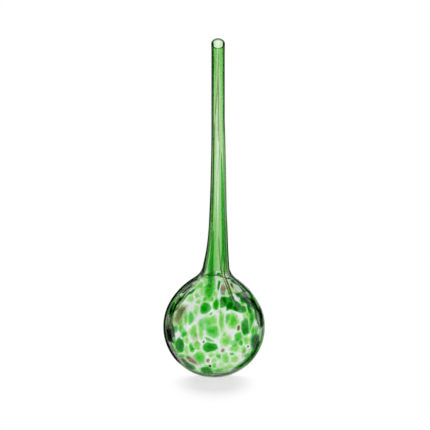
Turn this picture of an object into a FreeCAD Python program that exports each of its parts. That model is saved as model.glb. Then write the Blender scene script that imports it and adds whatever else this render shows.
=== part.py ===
import FreeCAD, Part
import math
import os

# A hand-blown watering globe: a hollow glass ball, speckled with melted-in chips, on a long hollow stem.
# The stem is drawn from green glass: it tapers to a straight tube and ends in a mouth cut on the slant.
# Millimetres. +Z runs up the stem, -Y is the front, and the origin is the lowest point of the ball.

V = FreeCAD.Vector
up = V(0, 0, 1)

# Driving dimensions of the vessel
overall_height = 300.0
globe_diameter = 90.0
globe_wall = 2.6
waist_diameter = 22.8
stem_diameter = 11.8
bore_diameter = 9.0
straight_length = 59.0
lip_length = 14.0
lip_flare = 0.2
mouth_slant_degrees = 34.4

# The shoulder leaves the ball at this angle above its equator, on a flatter arc, and a fillet turns it
# up the neck. The waist is the fillet's narrowest ring. The seam and the drawn stem's start lie below it.
shoulder_leave_degrees = 32.0
shoulder_radius = 62.0
neck_fillet_radius = 15.5
seam_below_waist = 10.1
stem_start_below_waist = 3.5

# Hand-blown lean: the neck tilts towards +X about the ball's centre, and the straight tube stands off to +X
neck_tilt_degrees = 1.8
stem_lean = 3.5

# The dark line where the stem was joined on
seam_thickness = 0.8

# Coloured glass
streak_depth = 0.5
thread_width = 1.0
streak_width = 1.9
cane_width = 3.2
chip_depth_shares = {"pale_green": 0.35, "mid_green": 0.42, "deep_green": 0.60, "mauve": 0.50, "brown": 0.40}

# One overrun for every cut that has to pass right through
overrun = 5.0

# The front of the pattern faces a little upwards
front_tilt_degrees = 5.0

globe_radius = globe_diameter / 2
waist_radius = waist_diameter / 2
stem_radius = stem_diameter / 2
stem_wall = stem_radius - bore_diameter / 2
lip_start = overall_height - lip_length
taper_top = lip_start - straight_length
ball_centre = V(0, 0, globe_radius)

# The drawn stem, in even steps from its start to the straight tube: how much of its extra radius is left,
# and how far its middle has moved over to the straight tube's
taper_radius_shares = (1.000, 0.644, 0.443, 0.304, 0.223, 0.157, 0.095, 0.045, 0.000)
taper_lean_shares = (0.00, 0.62, 0.96, 1.00, 1.10, 1.14, 1.16, 1.12, 1.00)

# Chips on the front, as seen from the front, in shares of the ball's radius:
# across, up, half length, half width, and the tilt in degrees of the length from the horizontal
front_chip_shares = {
    "deep_green": (
        (-0.18, 0.38, 0.100, 0.095, 0),
        (0.175, 0.52, 0.095, 0.060, 80),
        (0.315, 0.44, 0.090, 0.050, 55),
        (0.445, 0.42, 0.095, 0.060, 75),
        (0.585, 0.37, 0.065, 0.040, 100),
        (0.345, 0.59, 0.060, 0.040, 120),
        (0.615, 0.00, 0.160, 0.070, 90),
        (0.820, -0.30, 0.150, 0.060, 88),
        (-0.670, -0.35, 0.150, 0.075, 86),
        (-0.085, -0.37, 0.125, 0.095, 0),
        (-0.155, -0.85, 0.100, 0.060, -15),
        (-0.495, -0.77, 0.100, 0.040, -36),
        (0.690, 0.36, 0.085, 0.024, 112),
        (0.822, 0.24, 0.090, 0.022, 96),
        (0.095, 0.84, 0.065, 0.022, 82),
        (0.765, -0.55, 0.045, 0.026, 60),
        (-0.435, 0.70, 0.060, 0.024, 48),
    ),
    "mid_green": (
        (-0.095, 0.72, 0.100, 0.080, 95),
        (0.045, 0.48, 0.070, 0.045, 80),
        (-0.175, 0.57, 0.040, 0.032, 20),
        (-0.040, 0.57, 0.036, 0.026, 60),
        (-0.030, -0.07, 0.115, 0.100, 90),
        (0.275, 0.20, 0.085, 0.040, 65),
        (-0.460, 0.17, 0.110, 0.034, 84),
        (-0.755, -0.02, 0.075, 0.034, 50),
        (-0.600, -0.135, 0.062, 0.034, 55),
        (-0.440, -0.40, 0.070, 0.042, 118),
        (-0.290, -0.60, 0.095, 0.075, 115),
        (-0.095, -0.225, 0.080, 0.030, -28),
        (0.475, -0.17, 0.075, 0.055, 60),
        (0.530, -0.295, 0.050, 0.036, 90),
        (0.345, -0.51, 0.042, 0.032, 0),
        (0.655, -0.54, 0.050, 0.028, 30),
        (0.085, -0.56, 0.045, 0.040, 0),
        (-0.635, -0.56, 0.042, 0.028, 0),
        (0.730, 0.10, 0.100, 0.026, 85),
        (0.760, -0.08, 0.070, 0.024, 90),
        (0.000, -0.75, 0.050, 0.034, 90),
        (0.075, -0.845, 0.075, 0.028, 0),
        (0.515, -0.765, 0.055, 0.026, 28),
        (0.550, 0.51, 0.045, 0.030, 120),
        (0.475, 0.65, 0.036, 0.026, 0),
        (-0.070, 0.27, 0.042, 0.024, 45),
    ),
    "pale_green": (
        (-0.070, 0.15, 0.080, 0.080, 0),
        (0.390, 0.14, 0.115, 0.060, 95),
        (0.150, 0.13, 0.130, 0.034, 90),
        (0.250, -0.27, 0.085, 0.070, 0),
        (0.390, -0.39, 0.080, 0.060, 20),
        (0.640, -0.255, 0.060, 0.040, 90),
        (0.590, -0.440, 0.050, 0.034, 75),
        (-0.340, -0.35, 0.060, 0.045, 90),
        (-0.350, 0.38, 0.060, 0.036, 70),
        (-0.300, 0.51, 0.040, 0.030, 40),
        (-0.350, 0.63, 0.034, 0.030, 0),
        (-0.450, 0.58, 0.055, 0.034, 50),
        (-0.565, 0.19, 0.070, 0.028, 88),
        (-0.655, 0.07, 0.075, 0.036, 75),
        (-0.400, -0.08, 0.100, 0.055, 100),
        (-0.255, -0.08, 0.100, 0.038, 90),
        (0.235, -0.60, 0.085, 0.050, 95),
        (0.395, -0.63, 0.055, 0.050, 0),
        (0.150, -0.73, 0.050, 0.032, 0),
        (0.300, -0.76, 0.055, 0.036, 10),
        (0.300, 0.69, 0.050, 0.030, 0),
        (-0.240, 0.76, 0.070, 0.028, 85),
        (0.200, -0.13, 0.036, 0.028, 90),
        (-0.545, -0.25, 0.050, 0.030, 90),
        (-0.545, -0.42, 0.055, 0.030, 90),
        (0.010, -0.635, 0.045, 0.032, 30),
        (-0.055, -0.54, 0.040, 0.030, 0),
    ),
    "mauve": (
        (0.180, 0.74, 0.085, 0.052, 95),
        (-0.435, -0.645, 0.135, 0.045, -33),
        (-0.125, -0.64, 0.044, 0.042, 0),
        (-0.685, 0.27, 0.180, 0.055, 65),
        (-0.610, -0.655, 0.055, 0.024, -40),
        (0.175, -0.44, 0.050, 0.038, 60),
    ),
    "brown": (
        (0.475, 0.00, 0.080, 0.034, 88),
        (-0.205, -0.270, 0.026, 0.022, 90),
        (0.665, -0.365, 0.026, 0.020, 40),
        (-0.075, -0.755, 0.032, 0.024, -20),
        (0.355, 0.82, 0.050, 0.020, 122),
    ),
}

# Chips round the sides and back follow an even spiral. Their colours repeat in this order,
# and each colour has a half length and a half width, in shares of the ball's radius.
rest_chip_count = 84
rest_chip_colours = (
    "mid_green",
    "pale_green",
    "deep_green",
    "pale_green",
    "mid_green",
    "mauve",
    "pale_green",
    "deep_green",
    "mid_green",
    "brown",
    "pale_green",
)
rest_chip_size_shares = {
    "pale_green": (0.125, 0.085),
    "mid_green": (0.115, 0.080),
    "deep_green": (0.130, 0.090),
    "mauve": (0.125, 0.060),
    "brown": (0.045, 0.034),
}
rest_chip_clear_of_front_share = -0.22
rest_chip_top_share = 0.60
rest_chip_swell_share = 0.12
rest_chip_turn_degrees = 37.0

# Crushed glass has uneven corners: each corner's distance from the chip's middle, as a share of its half size
chip_corner_shares = (1.00, 0.94, 1.05, 0.93, 1.02, 0.97, 1.06, 0.92, 1.03, 0.96)

# Streaks drawn out along the stem, from below the mouth down to the shoulder: the width, and for each end
# the height as a share of the stem's length above the seam, and the degrees round the stem from the front
# towards +X
stem_streak_shares = {
    "stem_mauve_threads": (
        (thread_width, ((0.93, 6), (0.70, -7))),
        (thread_width, ((0.68, -12), (0.22, -46))),
        (thread_width, ((0.82, 20), (0.60, 12))),
        (thread_width, ((0.17, 5), (-0.04, 24))),
        (thread_width, ((0.85, 150), (0.12, 205))),
    ),
    "stem_deep_green_streaks": (
        (streak_width, ((0.52, 17), (0.055, 34))),
        (cane_width, ((0.20, -31), (-0.03, -10))),
        (streak_width, ((0.45, 120), (-0.03, 145))),
        (streak_width, ((0.62, 235), (0.08, 250))),
    ),
    "stem_pale_streaks": (
        (streak_width, ((0.90, -20), (0.66, -30))),
        (streak_width, ((0.56, -4), (0.20, -6))),
        (streak_width, ((0.88, 195), (0.25, 228))),
    ),
}


def polar(centre, radius, angle):
    """A point of the outline, in the plane of X and Z."""
    return centre + V(math.cos(angle), 0, math.sin(angle)) * radius


def arc_edge(centre, radius, from_angle, to_angle):
    middle = (from_angle + to_angle) / 2
    points = [polar(centre, radius, angle) for angle in (from_angle, middle, to_angle)]
    return Part.Arc(*points).toShape()


def shoulder_centre():
    """Centre of the shoulder's arc, which leaves the ball without a corner."""
    return polar(ball_centre, globe_radius - shoulder_radius, math.radians(shoulder_leave_degrees))


def fillet_centre():
    """Centre of the neck's fillet, which meets the shoulder smoothly and gives the waist its width."""
    shoulder_seat = shoulder_centre()
    reach = shoulder_radius + neck_fillet_radius
    across = waist_radius + neck_fillet_radius
    rise = math.sqrt(reach**2 - (across - shoulder_seat.x)**2)
    return V(across, 0, shoulder_seat.z + rise)


waist_height = fillet_centre().z
seam_height = waist_height - seam_below_waist
stem_start = waist_height - stem_start_below_waist
stem_length = overall_height - seam_height


def ball_and_neck(inset):
    """Ball, shoulder and neck as one turned solid, drawn in by the inset, and the radius of its top."""
    shoulder_seat = shoulder_centre()
    fillet_seat = fillet_centre()
    fillet_radius = neck_fillet_radius + inset
    leave_angle = math.radians(shoulder_leave_degrees)
    turn_angle = math.atan2(fillet_seat.z - shoulder_seat.z, fillet_seat.x - shoulder_seat.x)
    top_angle = math.pi + math.asin(stem_start_below_waist / fillet_radius)
    ball = arc_edge(ball_centre, globe_radius - inset, -math.pi / 2, leave_angle)
    shoulder = arc_edge(shoulder_seat, shoulder_radius - inset, leave_angle, turn_angle)
    fillet = arc_edge(fillet_seat, fillet_radius, turn_angle + math.pi, top_angle)
    top_radius = polar(fillet_seat, fillet_radius, top_angle).x
    top_centre = V(0, 0, stem_start)
    across_top = Part.LineSegment(V(top_radius, 0, stem_start), top_centre).toShape()
    down_axis = Part.LineSegment(top_centre, up * inset).toShape()
    face = Part.Face(Part.Wire([ball, shoulder, fillet, across_top, down_axis]))
    turned = face.revolve(V(0, 0, 0), up, 360)
    turned.rotate(ball_centre, V(0, 1, 0), neck_tilt_degrees)
    return turned, top_radius


def neck_axis():
    tilt = math.radians(neck_tilt_degrees)
    return V(math.sin(tilt), 0, math.cos(tilt))


def taper_centres():
    """Centres of the rings of the drawn stem, from its start to the straight tube."""
    start = ball_centre + neck_axis() * (stem_start - globe_radius)
    last = len(taper_lean_shares) - 1
    centres = []
    for index, lean_share in enumerate(taper_lean_shares):
        lean = start.x + lean_share * (stem_lean - start.x)
        centres.append(V(lean, 0, start.z + (taper_top - start.z) * index / last))
    return centres


def ring_wire(centre, axis, radius):
    """A ring of four quarter arcs, so that lofts through rings stay light."""
    circle = Part.Circle(centre, axis, radius)
    quarter = math.pi / 2
    return Part.Wire([circle.toShape(index * quarter, (index + 1) * quarter) for index in range(4)])


def blown_form(globe_inset, stem_inset):
    """The solid shape of the whole vessel, ball to mouth, drawn in by the given depths."""
    turned, top_radius = ball_and_neck(globe_inset)
    tube_r = stem_radius - stem_inset
    rings = []
    for centre, radius_share in zip(taper_centres(), taper_radius_shares):
        axis = up if rings else neck_axis()
        rings.append(ring_wire(centre, axis, tube_r + radius_share * (top_radius - tube_r)))
    taper = Part.makeLoft(rings, True)
    tube = Part.makeCylinder(tube_r, straight_length, V(stem_lean, 0, taper_top), up)
    flare = lip_flare * (lip_length + overrun) / lip_length
    lip = Part.makeCone(tube_r, tube_r + flare, lip_length + overrun, V(stem_lean, 0, lip_start), up)
    return turned.fuse([taper, tube, lip])


def above_mouth():
    """Everything above the slanting cut of the mouth, whose highest point is the overall height."""
    lip_r = stem_radius + lip_flare
    side = overall_height - taper_top
    low_side_drop = lip_r * math.tan(math.radians(mouth_slant_degrees))
    pivot = V(stem_lean, 0, overall_height - low_side_drop)
    block = Part.makeBox(side, side, side, pivot - V(side / 2, side / 2, 0))
    block.rotate(pivot, V(1, 0, 0), mouth_slant_degrees)
    return block


def slab(low, high):
    """A level slab that holds everything between two heights."""
    side = globe_diameter + overrun
    corner = V(-side / 2, -side / 2, low)
    return Part.makeBox(side, side, high - low, corner)


def skin_distance(toward):
    """How far the outside is from the ball's centre in a direction, on the ball and on its shoulder."""
    rise = math.asin(toward.dot(neck_axis())) - math.radians(shoulder_leave_degrees)
    if rise <= 0:
        return globe_radius
    offset = shoulder_radius - globe_radius
    return math.sqrt(shoulder_radius**2 - (offset * math.sin(rise))**2) - offset * math.cos(rise)


def chip_bar(toward, length_way, width_way, depth):
    """A many-sided bar, square to the skin, from the chip's flat bed to outside the glass."""
    bed = ball_centre + toward * (skin_distance(toward) - depth)
    corners = []
    for index, share in enumerate(chip_corner_shares):
        angle = 2 * math.pi * index / len(chip_corner_shares)
        corners.append(bed + (length_way * math.cos(angle) + width_way * math.sin(angle)) * share)
    face = Part.Face(Part.makePolygon(corners + corners[:1]))
    return face.extrude(toward * (depth + overrun))


def front_chip_bars(colour, depth):
    """Bars for the chips that are placed as they are seen from the front."""
    tilt = math.radians(front_tilt_degrees)
    forward = V(0, -math.cos(tilt), math.sin(tilt))
    right = V(1, 0, 0)
    rise = V(0, math.sin(tilt), math.cos(tilt))
    bars = []
    for across_share, up_share, length_share, width_share, turn in front_chip_shares[colour]:
        flat = right * (across_share * globe_radius) + rise * (up_share * globe_radius)
        reach = globe_radius
        for _ in range(3):
            toward = flat + forward * math.sqrt(reach**2 - flat.Length**2)
            toward.normalize()
            reach = skin_distance(toward)
        angle = math.radians(turn)
        ways = []
        for share, way_angle in ((length_share, angle), (width_share, angle + math.pi / 2)):
            seen = (right * math.cos(way_angle) + rise * math.sin(way_angle)) * (share * globe_radius)
            ways.append(seen - forward * (seen.dot(toward) / forward.dot(toward)))
        bars.append(chip_bar(toward, ways[0], ways[1], depth))
    return bars


def rest_chip_bars(colour, depth):
    """Bars for the chips of one colour on the even spiral, away from the front and below the shoulder."""
    golden_turn = math.pi * (3 - math.sqrt(5))
    length_share, width_share = rest_chip_size_shares[colour]
    bars = []
    for index in range(rest_chip_count):
        height = 2 * (index + 0.5) / rest_chip_count - 1
        ring = math.cos(math.asin(height))
        toward = V(ring * math.cos(index * golden_turn), ring * math.sin(index * golden_turn), height)
        if rest_chip_colours[index % len(rest_chip_colours)] != colour:
            continue
        if toward.y < rest_chip_clear_of_front_share or height > rest_chip_top_share:
            continue
        swell = 1 + rest_chip_swell_share * math.sin(index)
        level = up.cross(toward)
        level.normalize()
        uphill = toward.cross(level)
        turn = math.radians(index * rest_chip_turn_degrees)
        half_length = length_share * swell * globe_radius
        half_width = width_share * globe_radius
        length_way = (level * math.cos(turn) + uphill * math.sin(turn)) * half_length
        width_way = (uphill * math.cos(turn) - level * math.sin(turn)) * half_width
        bars.append(chip_bar(toward, length_way, width_way, depth))
    return bars


def stem_axis_at(height):
    """Point of the stem's axis at a height: on the neck's tilted axis, and above it between two rings."""
    centres = taper_centres()
    start = centres[0]
    if height <= start.z:
        return V(start.x * (height - globe_radius) / (start.z - globe_radius), 0, height)
    for low, high in zip(centres, centres[1:]):
        if height <= high.z:
            return low + (high - low) * ((height - low.z) / (high.z - low.z))
    return V(stem_lean, 0, height)


def streak_bar(width, path):
    """A flat bar that follows a path up the stem, from inside the bore to outside the glass."""
    wires = []
    for height_share, degrees in path:
        axis = stem_axis_at(seam_height + height_share * stem_length)
        angle = math.radians(degrees)
        outward = V(math.sin(angle), -math.cos(angle), 0)
        sideways = V(math.cos(angle), math.sin(angle), 0) * (width / 2)
        inner = axis + outward * (bore_diameter / 4)
        outer = axis + outward * globe_radius
        corners = [inner - sideways, outer - sideways, outer + sideways, inner + sideways]
        wires.append(Part.makePolygon(corners + corners[:1]))
    return Part.makeLoft(wires, True)


def save(name, shape):
    shape.exportStep("parts/" + name + ".step")
    print(name, "solids", len(shape.Solids), "volume", round(shape.Volume, 1))


def main():
    os.makedirs("parts", exist_ok=True)
    outer = blown_form(0, 0)
    mouth = above_mouth()
    streak_bed = outer.cut([blown_form(streak_depth, streak_depth), mouth])
    streaks = {}
    for name, paths in stem_streak_shares.items():
        bars = [streak_bar(width, path) for width, path in paths]
        streaks[name] = Part.makeCompound([streak_bed.common(bar) for bar in bars])

    clear = outer.cut([blown_form(globe_wall, stem_wall), mouth])
    clear = clear.cut(Part.makeCompound(list(streaks.values())))
    seam_bottom = seam_height - seam_thickness / 2
    seam_top = seam_height + seam_thickness / 2
    wall = clear.common(slab(-overrun, seam_bottom))
    chips = {}
    for colour, depth_share in chip_depth_shares.items():
        depth = depth_share * globe_wall
        bars = front_chip_bars(colour, depth) + rest_chip_bars(colour, depth)
        chips[colour + "_chips"] = Part.makeCompound([wall.common(bar) for bar in bars])
    wall = wall.cut(Part.makeCompound(list(chips.values())))

    save("globe_wall", wall)
    save("neck_seam_ring", clear.common(slab(seam_bottom, seam_top)))
    save("stem_taper", clear.common(slab(seam_top, taper_top)))
    save("stem_tube", clear.common(slab(taper_top, overall_height + overrun)))
    for name, shape in list(streaks.items()) + list(chips.items()):
        save(name, shape)


main()
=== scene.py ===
import math
import random

import bpy
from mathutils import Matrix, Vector, noise


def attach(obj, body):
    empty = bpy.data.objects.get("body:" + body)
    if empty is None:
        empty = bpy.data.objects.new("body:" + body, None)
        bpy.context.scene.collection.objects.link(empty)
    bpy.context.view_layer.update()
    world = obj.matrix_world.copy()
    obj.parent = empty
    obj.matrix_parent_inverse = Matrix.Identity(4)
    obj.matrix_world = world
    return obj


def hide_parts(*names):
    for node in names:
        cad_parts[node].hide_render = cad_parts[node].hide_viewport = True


# A hand-blown watering globe. Every piece of coloured glass is a closed lens inside the clear glass skin,
# which bends the light. Lengths are written in millimetres times MM, heights are above the ball's lowest
# point, and angles round the axis run from the front (-Y) towards +X.

MM = 0.001
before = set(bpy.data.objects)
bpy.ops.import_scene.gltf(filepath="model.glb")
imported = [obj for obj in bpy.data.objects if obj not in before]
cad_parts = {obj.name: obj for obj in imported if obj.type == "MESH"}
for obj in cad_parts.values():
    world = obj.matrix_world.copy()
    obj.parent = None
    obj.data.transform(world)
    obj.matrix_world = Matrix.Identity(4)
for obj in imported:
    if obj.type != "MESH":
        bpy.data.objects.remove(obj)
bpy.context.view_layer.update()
random.seed(7)

# The vessel's outline, with the same sizes as the solids
GLOBE_RADIUS = 45.0 * MM
SHOULDER_RADIUS = 62.0 * MM
SHOULDER_LEAVE = math.radians(32.0)
FILLET_RADIUS = 15.5 * MM
WAIST_RADIUS = 11.4 * MM
SEAM_BELOW_WAIST = 10.1 * MM
STEM_START_BELOW_WAIST = 3.5 * MM
STEM_RADIUS = 5.9 * MM
STRAIGHT_LENGTH = 59.0 * MM
LIP_LENGTH = 14.0 * MM
LIP_FLARE = 0.2 * MM
OVERALL_HEIGHT = 300.0 * MM
MOUTH_SLANT = math.radians(34.4)
NECK_TILT = math.radians(1.8)
STEM_LEAN = 3.5 * MM
TAPER_RADIUS_SHARES = (1.000, 0.644, 0.443, 0.304, 0.223, 0.157, 0.095, 0.045, 0.000)
TAPER_LEAN_SHARES = (0.00, 0.62, 0.96, 1.00, 1.10, 1.14, 1.16, 1.12, 1.00)

# How thick the blown wall is at each height
WALL_HEIGHTS = tuple(height * MM for height in (0, 18, 45, 66, 82, 94, 112, 150, 215, 300))
WALL_THICKNESSES = tuple(wall * MM for wall in (1.9, 2.3, 2.9, 3.6, 4.0, 3.4, 2.6, 1.9, 1.4, 1.4))

BALL_CENTRE = Vector((0, 0, GLOBE_RADIUS))
NECK_AXIS = Vector((math.sin(NECK_TILT), 0, math.cos(NECK_TILT)))
SHOULDER_X = (GLOBE_RADIUS - SHOULDER_RADIUS) * math.cos(SHOULDER_LEAVE)
SHOULDER_Z = GLOBE_RADIUS + (GLOBE_RADIUS - SHOULDER_RADIUS) * math.sin(SHOULDER_LEAVE)
FILLET_X = WAIST_RADIUS + FILLET_RADIUS
WAIST_HEIGHT = SHOULDER_Z + math.sqrt((SHOULDER_RADIUS + FILLET_RADIUS) ** 2 - (FILLET_X - SHOULDER_X) ** 2)
TURN_ANGLE = math.atan2(WAIST_HEIGHT - SHOULDER_Z, FILLET_X - SHOULDER_X)
SEAM_HEIGHT = WAIST_HEIGHT - SEAM_BELOW_WAIST
STEM_START = WAIST_HEIGHT - STEM_START_BELOW_WAIST
START_ANGLE = math.pi + math.asin(STEM_START_BELOW_WAIST / FILLET_RADIUS)
START_RADIUS = FILLET_X + FILLET_RADIUS * math.cos(START_ANGLE)
LIP_START = OVERALL_HEIGHT - LIP_LENGTH
TAPER_TOP = LIP_START - STRAIGHT_LENGTH
LIP_RADIUS = STEM_RADIUS + LIP_FLARE
MOUTH_MIDDLE = OVERALL_HEIGHT - LIP_RADIUS * math.tan(MOUTH_SLANT)
STEM_LENGTH = OVERALL_HEIGHT - SEAM_HEIGHT
LAST_TAPER = len(TAPER_LEAN_SHARES) - 1
TAPER_HEIGHTS = [STEM_START + (TAPER_TOP - STEM_START) * index / LAST_TAPER
                 for index in range(LAST_TAPER + 1)]
LEAN_START = (NECK_AXIS * (STEM_START - GLOBE_RADIUS)).x
LEANS = [LEAN_START + share * (STEM_LEAN - LEAN_START) for share in TAPER_LEAN_SHARES]

# How finely each stretch of the outline is stepped, and how many points a ring has
BALL_STEPS = 84
SHOULDER_STEPS = 26
FILLET_STEPS = 16
TAPER_STEPS = 64
STRAIGHT_STEPS = 20
LIP_STEPS = 6
RIM_STEPS = 8
ROUND = 160
POLE_RADIUS = 0.01 * MM
RIM_RISE = 0.5 * MM

# Slow uneven swells of the blown wall's inside, and ripples round it
SWELL_SIZE = 17.0 * MM
STEM_STRETCH = 3.2
SMALL_SWELLS = 0.4
SMALL_SWELL_FINENESS = 2.3
SWELL_SHARE = 0.13
SWELL_SEED = 5.0
RIPPLE_SHARE = 0.06
RIPPLES_ROUND = 5
RIPPLE_TWIST = 40.0

# The photograph's view
IMAGE_SIDE = 430
PIXELS_PER_METRE = 1132.7
VIEW_TILT = math.radians(5.0)
BALL_PIXEL = (214.1, 326.9)
TO_VIEWER = Vector((0, -math.cos(VIEW_TILT), math.sin(VIEW_TILT)))
VIEW_UP = Vector((0, math.sin(VIEW_TILT), math.cos(VIEW_TILT)))


def smooth(low, high, value):
    share = min(max((value - low) / (high - low), 0.0), 1.0)
    return share * share * (3 - 2 * share)


def table_value(places, values, place):
    """A value between the entries of a table, on a smooth curve that passes through them."""
    last = len(places) - 1
    if place <= places[0]:
        return values[0]
    if place >= places[last]:
        return values[last]
    index = max(i for i in range(last) if places[i] <= place)
    step = places[index + 1] - places[index]
    share = (place - places[index]) / step

    def slope(i):
        low, high = max(i - 1, 0), min(i + 1, last)
        return (values[high] - values[low]) / (places[high] - places[low]) * step

    a, b = values[index], values[index + 1]
    return (a + (b - a) * smooth(0, 1, share) + slope(index) * share * (1 - share) ** 2
            - slope(index + 1) * share * share * (1 - share))


def turns(count):
    """Equal steps round one full turn."""
    return [2 * math.pi * index / count for index in range(count)]


def wall_at(height):
    return table_value(WALL_HEIGHTS, WALL_THICKNESSES, height)


def outline():
    """Stations of the outside, from the bottom to below the lip: radius, height and outward normal."""
    stations = []

    def arc(x, z, radius, start, end, count, inward=1):
        for index in range(count):
            angle = start + (end - start) * index / count
            stations.append((x + radius * math.cos(angle), z + radius * math.sin(angle),
                             math.cos(angle) * inward, math.sin(angle) * inward))

    arc(0, GLOBE_RADIUS, GLOBE_RADIUS, -math.pi / 2, SHOULDER_LEAVE, BALL_STEPS)
    arc(SHOULDER_X, SHOULDER_Z, SHOULDER_RADIUS, SHOULDER_LEAVE, TURN_ANGLE, SHOULDER_STEPS)
    arc(FILLET_X, WAIST_HEIGHT, FILLET_RADIUS, TURN_ANGLE + math.pi, START_ANGLE, FILLET_STEPS, -1)
    radii = [STEM_RADIUS + share * (START_RADIUS - STEM_RADIUS) for share in TAPER_RADIUS_SHARES]
    for index in range(TAPER_STEPS):
        height = STEM_START + (TAPER_TOP - STEM_START) * index / TAPER_STEPS
        stations.append((table_value(TAPER_HEIGHTS, radii, height), height, 1.0, 0.0))
    for index in range(STRAIGHT_STEPS):
        stations.append((STEM_RADIUS, TAPER_TOP + STRAIGHT_LENGTH * index / STRAIGHT_STEPS, 1.0, 0.0))
    return stations


STATIONS = outline()


def lip_radius(height):
    return STEM_RADIUS + LIP_FLARE * smooth(LIP_START, OVERALL_HEIGHT, height)


def outside_at(height):
    """The outline's station at a height, on the lip too."""
    if height > STATIONS[-1][1]:
        return lip_radius(height), height, 1.0, 0.0
    index = max(i for i in range(len(STATIONS) - 1) if STATIONS[i][1] <= height)
    low, high = STATIONS[index], STATIONS[index + 1]
    share = min((height - low[1]) / (high[1] - low[1]), 1.0)
    return tuple(a + (b - a) * share for a, b in zip(low, high))


def ring_point(radius, height, angle):
    """A point at a radius and height: on the neck's tilted axis, and above it on the stem's own line."""
    if height <= STEM_START:
        centre = BALL_CENTRE + NECK_AXIS * (height - GLOBE_RADIUS)
        tilt = NECK_TILT
    else:
        centre = Vector((table_value(TAPER_HEIGHTS, LEANS, height), 0, height))
        tilt = NECK_TILT * (1 - smooth(TAPER_HEIGHTS[0], TAPER_HEIGHTS[1], height))
    across = radius * math.sin(angle)
    return centre + Vector((across * math.cos(tilt), -radius * math.cos(angle), -across * math.sin(tilt)))


def skin_point(station, angle, depth=0.0):
    radius, height, normal_out, normal_up = station
    return ring_point(max(radius - depth * normal_out, 0.0), height - depth * normal_up, angle)


def swells(radius, height, angle):
    """Slow uneven swells of hand-blown glass, from about -1 to 1, stretched along the stem."""
    stretch = STEM_STRETCH if height > SEAM_HEIGHT else 1.0
    place = Vector((radius * math.sin(angle), -radius * math.cos(angle), height / stretch)) / SWELL_SIZE
    small = noise.noise(place * SMALL_SWELL_FINENESS + Vector((0, SWELL_SEED, 0)))
    return noise.noise(place + Vector((SWELL_SEED, 0, 0))) + SMALL_SWELLS * small


def inner_depth(station, angle):
    """How deep the wall's inside lies under a station of the outside."""
    radius, height = station[0], station[1]
    ripple = math.sin(RIPPLES_ROUND * angle + height * RIPPLE_TWIST)
    return wall_at(height) * (1 + SWELL_SHARE * swells(radius, height, angle) + RIPPLE_SHARE * ripple)


def rim_start(angle):
    """Height over a point of the lip at which the slanting cut's rounded rim starts."""
    return MOUTH_MIDDLE - LIP_RADIUS * math.cos(angle) * math.tan(MOUTH_SLANT) - RIM_RISE


def lip_row(share, depth_at):
    """A ring in the lip's wall, at a share of the way up to its rim and at its own depth all round."""
    row = []
    for angle in turns(ROUND):
        height = LIP_START + (rim_start(angle) - LIP_START) * share
        row.append(ring_point(lip_radius(height) - depth_at(height, angle), height, angle))
    return row


def grid_mesh(rows, close_rows=False):
    """A mesh of quads from rings of points. A ring of one point is a pole."""
    vertices, starts, faces = [], [], []
    for row in rows:
        starts.append(len(vertices))
        vertices.extend(row)
    pairs = list(zip(range(len(rows) - 1), range(1, len(rows))))
    if close_rows:
        pairs.append((len(rows) - 1, 0))
    for low, high in pairs:
        count = max(len(rows[low]), len(rows[high]))
        for index in range(count):
            after = (index + 1) % count
            if len(rows[low]) == 1:
                faces.append((starts[low], starts[high] + after, starts[high] + index))
            elif len(rows[high]) == 1:
                faces.append((starts[low] + index, starts[low] + after, starts[high]))
            else:
                faces.append((starts[low] + index, starts[low] + after,
                              starts[high] + after, starts[high] + index))
    return vertices, faces


def new_object(name, data):
    thing = bpy.data.objects.new(name, data)
    bpy.context.scene.collection.objects.link(thing)
    return thing


def new_piece(name, vertices, faces, material, slot, nodes=()):
    mesh = bpy.data.meshes.new(name)
    mesh.from_pydata([tuple(v) for v in vertices], [], faces)
    mesh.validate()
    mesh.polygons.foreach_set("use_smooth", [True] * len(mesh.polygons))
    mesh.materials.append(material)
    piece = new_object(name, mesh)
    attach(piece, "root")
    if nodes:
        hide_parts(*nodes)


# Shader nodes

NOISE_DETAIL = 2.0


def empty_material(name):
    material = bpy.data.materials.new(name)
    material.use_nodes = True
    material.node_tree.nodes.clear()
    return material, material.node_tree


def new_node(tree, kind, inputs, **settings):
    """Adds a node, links each input to a socket or sets it to a colour or number, and gives its outputs."""
    node = tree.nodes.new("ShaderNode" + kind)
    for name, value in settings.items():
        setattr(node, name, value)
    for key, value in inputs.items():
        if isinstance(value, bpy.types.NodeSocket):
            tree.links.new(value, node.inputs[key])
        elif isinstance(value, tuple):
            node.inputs[key].default_value = (*value, 1.0)
        else:
            node.inputs[key].default_value = value
    return node.outputs


def math_node(tree, operation, *inputs):
    return new_node(tree, "Math", dict(enumerate(inputs)), operation=operation)[0]


def soft_step(tree, value, low, high):
    inputs = {"Value": value, "From Min": low, "From Max": high}
    return new_node(tree, "MapRange", inputs, interpolation_type="SMOOTHSTEP")["Result"]


def mixed(tree, factor, first, second, kind="RGBA"):
    return new_node(tree, "Mix", {"Factor": factor, "A": first, "B": second}, data_type=kind)["Result"]


def colour_ramp(tree, value, stops):
    node = tree.nodes.new("ShaderNodeValToRGB")
    ramp = node.color_ramp
    ramp.interpolation = "EASE"
    while len(ramp.elements) < len(stops):
        ramp.elements.new(0.5)
    for element, (position, colour) in zip(ramp.elements, stops):
        element.position = position
        element.color = (*colour, 1.0)
    tree.links.new(value, node.inputs["Fac"])
    return node.outputs["Color"]


def noise_node(tree, place, scale):
    return new_node(tree, "TexNoise", {"Vector": place, "Scale": scale, "Detail": NOISE_DETAIL})["Fac"]


def coordinates(tree, kind):
    return new_node(tree, "TexCoord", {})[kind]


def light_path(tree, kind):
    return new_node(tree, "LightPath", {})[kind]


def after_reflection(tree):
    """1 for rays that a shiny surface has sent on, else 0."""
    return math_node(tree, "GREATER_THAN", light_path(tree, "Glossy Depth"), 0.5)


# Glass, and the light and shade painted on its edges

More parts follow.
